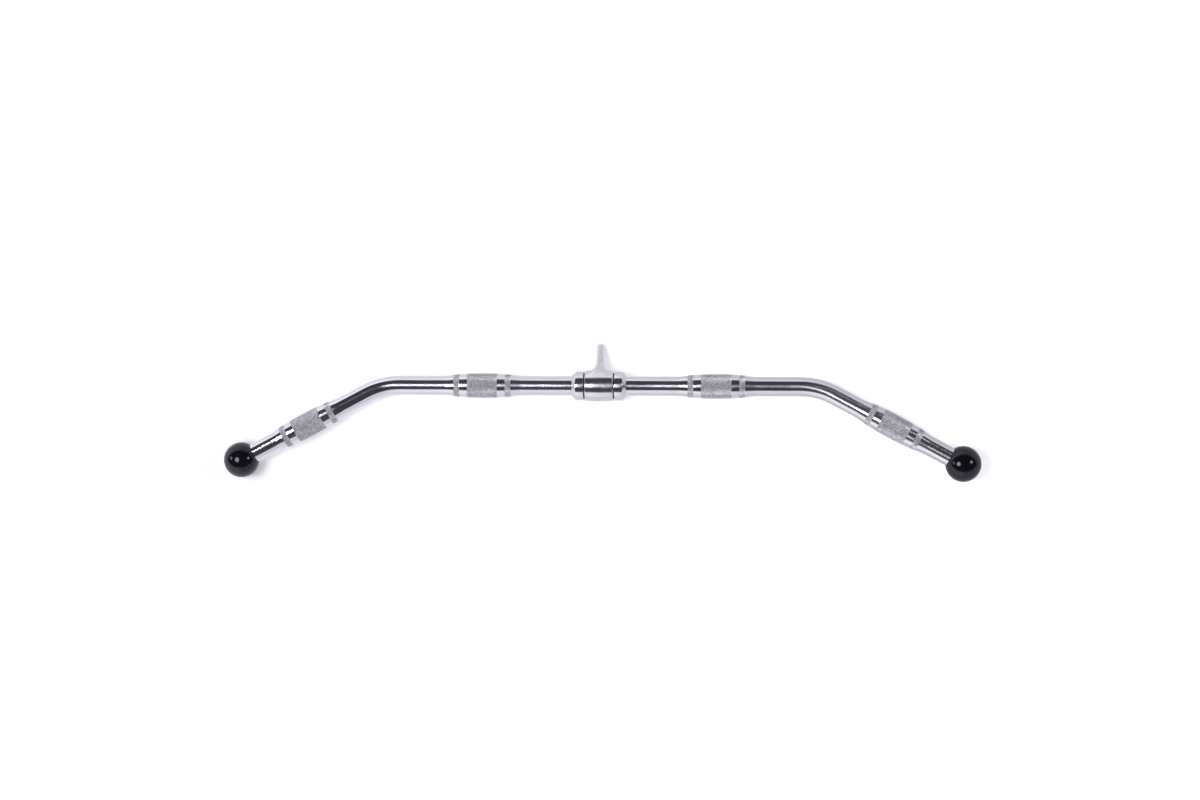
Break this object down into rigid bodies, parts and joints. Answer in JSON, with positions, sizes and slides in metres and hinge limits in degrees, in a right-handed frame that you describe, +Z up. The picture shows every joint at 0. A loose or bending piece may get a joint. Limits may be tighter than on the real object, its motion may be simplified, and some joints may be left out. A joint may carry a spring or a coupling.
{
  "type": "lat pulldown bar",
  "caption": "Wide lat pulldown bar with angled ends, knurled grip swells, ball ends and a free-turning centre hanger with an eye for a cable hook.",
  "frame": {"origin": "on the floor that the bar lies on, under the middle of the part's box", "axes": "+X along the bar to its right end, +Y across the bar towards the hanger's eye, +Z up from the floor"},
  "size_m": [0.9746, 0.1747, 0.046],
  "materials": {
    "bar_chrome": "polished chrome plate, diamond knurl on the grips",
    "hanger_chrome": "hand-polished chrome plate over a casting",
    "bushing_bronze": "oiled sintered bronze",
    "collar_chrome": "polished chrome plate",
    "screw_steel": "black oxide",
    "ball_black": "glossy moulded black"
  },
  "bodies": {
    "bar": {"bar": "bar_chrome", "collar_left": "collar_chrome", "collar_right": "collar_chrome", "grub_screw_left_front": "screw_steel", "grub_screw_left_back": "screw_steel", "grub_screw_right_front": "screw_steel", "grub_screw_right_back": "screw_steel", "ball_end_left": "ball_black", "ball_end_right": "ball_black"},
    "hanger": {"swivel_hanger": "hanger_chrome", "bushing_left": "bushing_bronze", "bushing_right": "bushing_bronze"}
  },
  "joints": [
    {"name": "hanger_swivel", "type": "hinge", "parent": "bar", "child": "hanger", "pos_m": [0, 0.03304, 0.01975], "axis": [1, 0, 0], "continuous": true}
  ]
}
